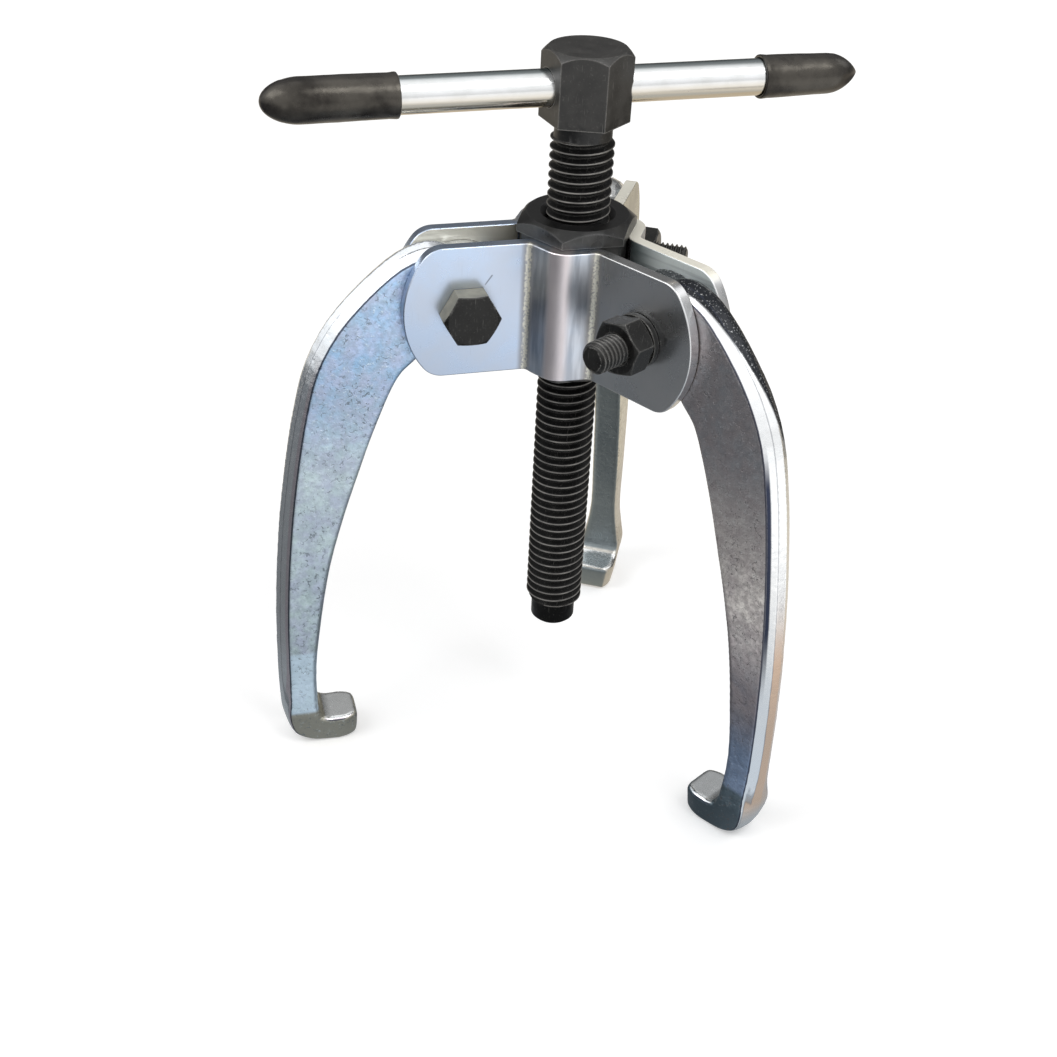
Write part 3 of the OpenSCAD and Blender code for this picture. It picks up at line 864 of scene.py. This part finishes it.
def break_edges(bm, width, steps=2):
    """Bevels the sharp edges between two faces."""
    sharp = [e for e in bm.edges if len(e.link_faces) == 2 and e.calc_face_angle(0) > SHARP]
    bmesh.ops.bevel(bm, geom=sharp, offset=width, offset_type="OFFSET", segments=steps,
                    profile=0.5, affect="EDGES", clamp_overlap=True, material=-1)


def cut_across(bm, height, up, parts=None):
    """Cuts a shape at a height and clears what lies above, or below where up is -1."""
    bmesh.ops.bisect_plane(bm, geom=parts or bm.verts[:] + bm.edges[:] + bm.faces[:],
                           plane_co=(0, 0, height), plane_no=(0, 0, up), clear_outer=True)


def swell(v, share):
    """Changes a point's distance from Z to a share of what it was."""
    v.co.x *= share
    v.co.y *= share


def paint(bm, index, wanted):
    """Gives the faces that a test picks another of the piece's materials."""
    bm.normal_update()
    for face in bm.faces:
        if wanted(face.calc_center_median(), face.normal):
            face.material_index = index


def make_piece(name, bm, body, materials, node, crease=34):
    """Turns a finished bmesh into a named piece that rides on a body for a solid."""
    mesh = new_mesh(name, bm)
    for material in materials:
        mesh.materials.append(material)
    mesh.shade_smooth()
    mesh.set_sharp_from_angle(angle=math.radians(crease))
    piece = new_object(name, mesh)
    evened = piece.modifiers.new("even shading", "WEIGHTED_NORMAL")
    evened.keep_sharp = True
    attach(piece, body)
    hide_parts(node)
    print(name, len(mesh.polygons), "faces")


# %% [markdown]
# ## Threads
# A thread is one profile carried round the rod while it climbs by one pitch. Spin
# does both at once: the profile of the whole length turns once and is lifted a
# little at every step. After a full turn each tooth meets the next one, and merging
# the doubles closes the sheet. Cones limit the height of the teeth at both ends,
# which gives the run-out of a real thread and leaves a plain round rim to build on.

# %% Threaded sheet
# How fast the cones at the ends widen, as radius per length.
RUN_OUT = 1.5
# One tooth: shares of a pitch along the rod, and shares of the tooth's height.
TOOTH = ((0.00, 1.00), (0.07, 1.00), (0.11, 0.93), (0.27, 0.46), (0.43, 0.06), (0.49, 0.00),
         (0.60, 0.00), (0.66, 0.06), (0.82, 0.46), (0.96, 0.93))


def threaded_sheet(crest, root, pitch, low, high, rim_low, rim_high, steps):
    """An open threaded tube along Z, with plain round rims at its low and high ends."""
    bm = bmesh.new()
    turns = math.ceil((high - low) / pitch) + 2
    line = []
    for turn in range(turns):
        for along, share in TOOTH:
            z = low + (turn - 1.5 + along) * pitch
            line.append(bm.verts.new((root + share * (crest - root), 0, z)))
    edges = [bm.edges.new(pair) for pair in zip(line, line[1:])]
    bmesh.ops.spin(bm, geom=line + edges, cent=(0, 0, 0), axis=(0, 0, 1),
                   dvec=(0, 0, pitch / steps), angle=math.tau, steps=steps)
    bmesh.ops.remove_doubles(bm, verts=bm.verts, dist=0.01 * MM)
    for v in bm.verts:
        radius = math.hypot(v.co.x, v.co.y)
        rise = min(rim_low + RUN_OUT * (v.co.z - low), rim_high + RUN_OUT * (high - v.co.z))
        swell(v, min(1.0, max(rise, min(rim_low, rim_high)) / radius))
    cut_across(bm, low, -1)
    cut_across(bm, high, 1)
    return bm


def rim(bm, height):
    """The open edges of a tube at a height."""
    return [e for e in bm.edges if e.is_boundary
            and all(abs(v.co.z - height) < 0.01 * MM for v in e.verts)]


def draw_out(bm, edges, height):
    """Carries an open round rim straight on to a new height, and returns the new rim."""
    made = bmesh.ops.extrude_edge_only(bm, edges=edges)["geom"]
    verts = [v for v in made if isinstance(v, bmesh.types.BMVert)]
    for v in verts:
        v.co.z = height
    return [e for e in made if isinstance(e, bmesh.types.BMEdge)
            and all(v in verts for v in e.verts)]


# %% [markdown]
# ## Spindle
# The spindle is turned and threaded from bar, with a hexagon on its head and a hole
# across it. The thread is new here, because the solid has a plain rod in its place.
# The nose below the thread and the head above it come from the solid.

# %% Spindle
SPINDLE_CREST, SPINDLE_ROOT, SPINDLE_PITCH = 4.95 * MM, 4.08 * MM, 1.5 * MM
THREAD_LOW, THREAD_HIGH = 3.6 * MM, 89.6 * MM
FOOT_CUT, HEAD_CUT = 2.0 * MM, 91.0 * MM
BRIDGE, HEAD_BREAK = 0.1 * MM, 0.22 * MM
NOSE_R, NECK_R = 3.9 * MM, 4.65 * MM
SEAT_R, SEAT_TOP = 3.4 * MM, 4.4 * MM


def in_ball_seat(face):
    """Whether a face belongs to the hollow in the nose that holds the ball."""
    return all(v.co.z < SEAT_TOP and math.hypot(v.co.x, v.co.y) < SEAT_R for v in face.verts)


def cut_part(node, height, keep_up):
    """What a solid holds above or below a height, open where it was cut, its seat whole."""
    bm = merged_copy(node)
    outer = [f for f in bm.faces if keep_up or not in_ball_seat(f)]
    parts = dict.fromkeys(part for f in outer for part in (*f.verts, *f.edges, f))
    cut_across(bm, height, -1 if keep_up else 1, list(parts))
    return bm


def add_mesh(bm, other):
    """Adds another bmesh to this one."""
    spare = new_mesh("spare", other)
    bm.from_mesh(spare)
    bpy.data.meshes.remove(spare)


def make_spindle():
    bm = threaded_sheet(SPINDLE_CREST, SPINDLE_ROOT, SPINDLE_PITCH, THREAD_LOW, THREAD_HIGH,
                        NOSE_R, NECK_R, steps=72)
    neck = draw_out(bm, rim(bm, THREAD_HIGH), HEAD_CUT - BRIDGE)
    nose = draw_out(bm, rim(bm, THREAD_LOW), FOOT_CUT + BRIDGE)
    head = cut_part("spindle", HEAD_CUT, keep_up=True)
    break_edges(head, HEAD_BREAK)
    foot = cut_part("spindle", FOOT_CUT, keep_up=False)
    add_mesh(bm, head)
    add_mesh(bm, foot)
    for low, high in ((HEAD_CUT - BRIDGE, HEAD_CUT), (FOOT_CUT, FOOT_CUT + BRIDGE)):
        bmesh.ops.bridge_loops(bm, edges=rim(bm, low) + rim(bm, high))
    bmesh.ops.recalc_face_normals(bm, faces=bm.faces)
    print("spindle rims:", len(neck), len(nose))
    make_piece("threaded_spindle", bm, "spindle", [OXIDE_HEAD],
               "spindle", crease=50)


make_spindle()

# %% [markdown]
# ## Ball in the nose
# Such a spindle carries a hardened ball in its nose, so that the nose stays still
# on the shaft while the thread turns. It is a plain sphere, finely divided.

# %% Pressure ball
def make_ball():
    low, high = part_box("pressure_ball")
    bm = bmesh.new()
    bmesh.ops.create_icosphere(bm, subdivisions=5, radius=(high.x - low.x) / 2 * 0.999)
    bmesh.ops.translate(bm, vec=(low + high) / 2, verts=bm.verts)
    make_piece("nose_ball", bm, "pressure_ball", [BALL_STEEL],
               "pressure_ball")


make_ball()

# %% [markdown]
# ## Yoke nut and plates
# The nut is turned and milled, so its edges are only just broken. The plates are
# stamped, and the press rounds one side of a cut edge and leaves the other crisp.
# Both keep the shape of their solids.

# %% Yoke nut and plates
NUT_BREAK, PLATE_BREAK = 0.18 * MM, 0.22 * MM


def softened(node, width, steps=2):
    """A copy of a solid with broken edges."""
    bm = merged_copy(node)
    break_edges(bm, width, steps)
    return bm


def on_flats(centre, normal):
    return abs(normal.z) < 0.2 and math.hypot(centre.x, centre.y) > 6 * MM


nut = softened("yoke_nut", NUT_BREAK)
paint(nut, 1, on_flats)
make_piece("hexagon_yoke_nut", nut, "yoke", [OXIDE_NUT, OXIDE_FLATS],
           "yoke_nut", crease=40)

WING_INSIDE = 3.0 * MM


def faces_an_arm(centre, normal):
    """Whether a place lies on the side of a wing that an arm's eye turns against."""
    for angle in ARMS.values():
        off = abs(centre.dot(sideways(angle)))
        if (off < WING_INSIDE and abs(normal.dot(sideways(angle))) > 0.9
                and centre.dot(outwards(angle)) > 0):
            return True
    return False


for side, zinc in ZINC_PLATES.items():
    plate = softened(f"{side}_yoke_plate", PLATE_BREAK, steps=3)
    paint(plate, 1, faces_an_arm)
    make_piece(f"{side}_folded_plate", plate, "yoke",
               [zinc, INSIDES[side]], f"{side}_yoke_plate", crease=40)

# %% [markdown]
# ## Pivot bolts, spring washers and nuts
# A standard bolt holds each arm between two wings. Its head is cold formed with a
# chamfer round the top, and the end of its shank is threaded with a short point. The
# spring washer is square wire wound to one turn that doesn't quite close.

# %% Bolts
BOLT_CREST, BOLT_ROOT, BOLT_PITCH = 2.48 * MM, 2.07 * MM, 0.8 * MM
UNDER_HEAD = 4.88 * MM
THREAD_HIDDEN = -9.08 * MM
BOLT_END = -15.12 * MM
POINT_R, SHANK_R = 1.75 * MM, 2.3 * MM
BOLT_BREAK, SMALL_BREAK = 0.16 * MM, 0.14 * MM
PIVOT_R, PIVOT_Z = 18.3 * MM, 64 * MM


def pivot_place(angle):
    """Stands a piece made along Z on an arm's pivot, its top to the arm's side."""
    out, side = outwards(angle), sideways(angle)
    turn = Matrix((out, side.cross(out), side)).transposed().to_4x4()
    return Matrix.Translation(out * PIVOT_R + WORLD_UP * PIVOT_Z) @ turn


def make_bolt(side, angle):
    place = pivot_place(angle)
    bm = merged_copy(f"{side}_pivot_bolt")
    bmesh.ops.transform(bm, matrix=place.inverted(), verts=bm.verts)
    cut_across(bm, THREAD_HIDDEN, -1)
    break_edges(bm, BOLT_BREAK)
    thread_top = THREAD_HIDDEN - BRIDGE
    thread = threaded_sheet(BOLT_CREST, BOLT_ROOT, BOLT_PITCH, BOLT_END, thread_top,
                            POINT_R, SHANK_R, steps=56)
    bmesh.ops.holes_fill(thread, edges=rim(thread, BOLT_END), sides=0)
    add_mesh(bm, thread)
    bmesh.ops.bridge_loops(bm, edges=rim(bm, THREAD_HIDDEN) + rim(bm, thread_top))
    bmesh.ops.recalc_face_normals(bm, faces=bm.faces)
    bmesh.ops.transform(bm, matrix=place, verts=bm.verts)

    def upper_flat(centre, normal):
        """Whether a place lies on one of the head's flats that look up."""
        return (centre.dot(sideways(angle)) > UNDER_HEAD and normal.z > 0.3
                and abs(normal.dot(sideways(angle))) < 0.2)

    # The head's flats that look up take the oxide with painted light.
    paint(bm, 1, upper_flat)
    make_piece(f"{side}_threaded_bolt", bm, "yoke",
               [OXIDE_BOLT, PAINTED_LIGHT_FLATS], f"{side}_pivot_bolt", crease=50)


# %% Washers and nuts
WASHER_IN, WASHER_OUT = 2.6 * MM, 4.3 * MM
WASHER_LOW, WASHER_HIGH = -6.07 * MM, -4.89 * MM
SPLIT_AT, SPLIT_WIDE, SPLIT_RISE = 200, 14, 0.12 * MM
WASHER_STEPS = 90


def make_washer(side, angle):
    """One turn of square wire, spun about the bolt with a slight climb."""
    bm = bmesh.new()
    low, high = WASHER_LOW, WASHER_HIGH - SPLIT_RISE
    corners = [bm.verts.new(c) for c in ((WASHER_IN, 0, low), (WASHER_OUT, 0, low),
                                         (WASHER_OUT, 0, high), (WASHER_IN, 0, high))]
    face = bm.faces.new(corners)
    bmesh.ops.spin(bm, geom=[face] + face.edges[:] + corners, cent=(0, 0, 0),
                   axis=(0, 0, 1), dvec=(0, 0, SPLIT_RISE / WASHER_STEPS),
                   angle=math.radians(360 - SPLIT_WIDE), steps=WASHER_STEPS)
    bmesh.ops.recalc_face_normals(bm, faces=bm.faces)
    break_edges(bm, SMALL_BREAK)
    start = Matrix.Rotation(math.radians(SPLIT_AT + SPLIT_WIDE / 2), 4, "Z")
    bmesh.ops.transform(bm, matrix=pivot_place(angle) @ start, verts=bm.verts)
    bmesh.ops.recalc_face_normals(bm, faces=bm.faces)
    make_piece(f"{side}_split_washer", bm, "yoke", [OXIDE_BOLT],
               f"{side}_spring_washer")


for side, angle in ARMS.items():
    make_bolt(side, angle)
    make_washer(side, angle)
    make_piece(f"{side}_nut", softened(f"{side}_hex_nut", SMALL_BREAK), "yoke",
               [OXIDE_BOLT], f"{side}_hex_nut", crease=40)

# %% [markdown]
# ## Arms
# A forging has no sharp edges and no perfectly flat faces. Remeshing the solid into
# a fine even skin and letting it flow a little rounds every edge as a die does.
# Then each point is moved by a few hundredths of a millimetre, so that the light
# runs unevenly over the faces, and small pits are pressed in.

# %% Forged arms
SKIN = 0.23 * MM
WAVE_HIGH, WAVE_LONG = 0.035 * MM, 6.0
DENT_DEEP, DENT_APART, DENT_WIDE = 0.05 * MM, 2.4, 0.2


def even_skin(bm):
    """The same shape as one even mesh, with its edges rounded by smoothing."""
    mesh = new_mesh("skin", bm)
    carrier = new_object("skin", mesh)
    remesh = carrier.modifiers.new("remesh", "REMESH")
    remesh.mode = "VOXEL"
    remesh.voxel_size = SKIN
    flow = carrier.modifiers.new("flow", "SMOOTH")
    flow.factor = 0.5
    flow.iterations = 2
    ready = carrier.evaluated_get(bpy.context.evaluated_depsgraph_get())
    skin = bmesh.new()
    skin.from_mesh(ready.to_mesh())
    bpy.data.objects.remove(carrier)
    bpy.data.meshes.remove(mesh)
    return skin


def forge_marks(bm, seed):
    """Moves every point by a slow wave and by small dents."""
    bm.normal_update()
    shift = Vector((seed, 3 * seed, 7 * seed))
    for v in bm.verts:
        place = v.co / MM
        wave = noise.fractal(place / WAVE_LONG + shift, 1.0, 2.0, 4)
        cell = noise.voronoi(place / DENT_APART + shift)[0][0]
        dent = max(0.0, 1.0 - cell / DENT_WIDE)
        v.co += v.normal * (wave * WAVE_HIGH - dent * dent * DENT_DEEP)


def make_arm(side, angle):
    turn = Matrix.Rotation(math.radians(angle), 3, "Z")
    bm = welded_copy(f"{side}_arm")
    bmesh.ops.rotate(bm, matrix=turn.inverted(), verts=bm.verts)
    skin = even_skin(bm)
    forge_marks(skin, seed=1 + list(ARMS).index(side))
    bmesh.ops.rotate(skin, matrix=turn, verts=skin.verts)
    low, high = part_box(f"{side}_arm")
    for v in skin.verts:
        v.co = Vector(min(max(c, a), b) for c, a, b in zip(v.co, low, high))
    make_piece(f"{side}_forged_arm", skin, f"{side}_arm", [FORGED[side]],
               f"{side}_arm", crease=180)


for side, angle in ARMS.items():
    make_arm(side, angle)

# %% [markdown]
# ## Sliding bar and its caps
# The bar is a rod with its ends broken. Each cap is turned here as one outline round
# the bar's axis: from the bottom of its bore out over the mouth and back to the tip.
# A dipped coat is never even, so the mouth is thicker and slightly wavy.

# %% Lathe along the bar
BAR_ANGLE = 90 + BAR_TURN
BAR_Z = 96.981 * MM


def lathe(points, steps):
    """A closed shape turned about Z from an outline of (radius, height) points."""
    bm = bmesh.new()
    line = [bm.verts.new((r, 0, z)) for r, z in points]
    edges = [bm.edges.new(pair) for pair in zip(line, line[1:])]
    bmesh.ops.spin(bm, geom=line + edges, cent=(0, 0, 0), axis=(0, 0, 1), angle=math.tau,
                   steps=steps, use_merge=True)
    bmesh.ops.remove_doubles(bm, verts=bm.verts, dist=0.001 * MM)
    bmesh.ops.recalc_face_normals(bm, faces=bm.faces)
    return bm


def along_bar(bm, middle):
    """Lays a shape made along Z on the bar's axis, its +Z to the bar's right end."""
    lay = WORLD_UP.rotation_difference(outwards(BAR_ANGLE)).to_matrix().to_4x4()
    place = Matrix.Translation(WORLD_UP * BAR_Z + outwards(BAR_ANGLE) * middle)
    bmesh.ops.transform(bm, matrix=place @ lay, verts=bm.verts)


# %% Bar
BAR_R, BAR_HALF, BAR_MIDDLE = 2.75 * MM, 40.5 * MM, -1.7 * MM
BAR_END = 0.5 * MM

bar_outline = [(0, -BAR_HALF), (BAR_R - BAR_END, -BAR_HALF), (BAR_R, -BAR_HALF + BAR_END)]
bar_outline += [(BAR_R, (share - 0.5) * 1.9 * BAR_HALF) for share in (0, 0.25, 0.5, 0.75, 1)]
bar_outline += [(BAR_R, BAR_HALF - BAR_END), (BAR_R - BAR_END, BAR_HALF), (0, BAR_HALF)]
bar = lathe(bar_outline, 96)
along_bar(bar, BAR_MIDDLE)
make_piece("sliding_bar", bar, "t_bar", [BRIGHT_BAR], "t_bar")

# %% Caps
CAP_R, CAP_BORE, CAP_LIP = 3.33 * MM, 2.77 * MM, 0.55 * MM
SAG_HIGH, SAG_LONG, SAG_DOWN = 0.05 * MM, 2.2, 0.03 * MM
BORE_STEPS, SIDE_STEPS, END_STEPS = 30, 40, 24


def cap_outline(mouth, end_r, end_len, point):
    """Outline of a cap from its bore's bottom to its tip, wavy lip included."""
    points = [(0, BAR_HALF), (CAP_BORE, BAR_HALF)]
    points += [(CAP_BORE, BAR_HALF + (mouth - BAR_HALF) * k / BORE_STEPS)
               for k in range(1, BORE_STEPS)]
    points += [(CAP_BORE, mouth + 0.15 * MM), (CAP_BORE + 0.12 * MM, mouth),
               (CAP_R - 0.18 * MM, mouth), (CAP_R - 0.04 * MM, mouth + 0.1 * MM),
               (CAP_R, mouth + CAP_LIP * 0.6), (CAP_R - 0.04 * MM, mouth + CAP_LIP * 1.4),
               (CAP_R - 0.09 * MM, mouth + CAP_LIP * 2.4)]
    first, start_r = mouth + CAP_LIP * 3.2, CAP_R - 0.08 * MM
    for k in range(SIDE_STEPS):
        share = k / SIDE_STEPS
        points.append((start_r + (end_r - start_r) * share, first + (BAR_HALF - first) * share))
    for k in range(END_STEPS):
        turn = math.radians(90 * k / END_STEPS)
        points.append((end_r * math.cos(turn) ** point, BAR_HALF + end_len * math.sin(turn)))
    return points + [(0, BAR_HALF + end_len)]


def make_cap(side, *form):
    bm = lathe(cap_outline(*form), 96)
    for v in bm.verts:
        radius = math.hypot(v.co.x, v.co.y)
        if radius > CAP_BORE + 0.2 * MM:
            place = Vector((v.co.x / MM, v.co.y / MM, v.co.z / MM * 0.45))
            sag = SAG_HIGH * noise.fractal(place / SAG_LONG, 1.0, 2.0, 3) - SAG_DOWN
            swell(v, 1 + sag / radius)
    if side == "left":
        bmesh.ops.rotate(bm, matrix=Matrix.Rotation(math.pi, 3, "X"), verts=bm.verts)
    along_bar(bm, BAR_MIDDLE)
    make_piece(f"{side}_dipped_cap", bm, "t_bar", [VINYL], f"{side}_bar_cap")


make_cap("left", 26.8 * MM, 3.32 * MM, 5.98 * MM, 1.0)
make_cap("right", 29.5 * MM, 3.08 * MM, 5.48 * MM, 1.6)
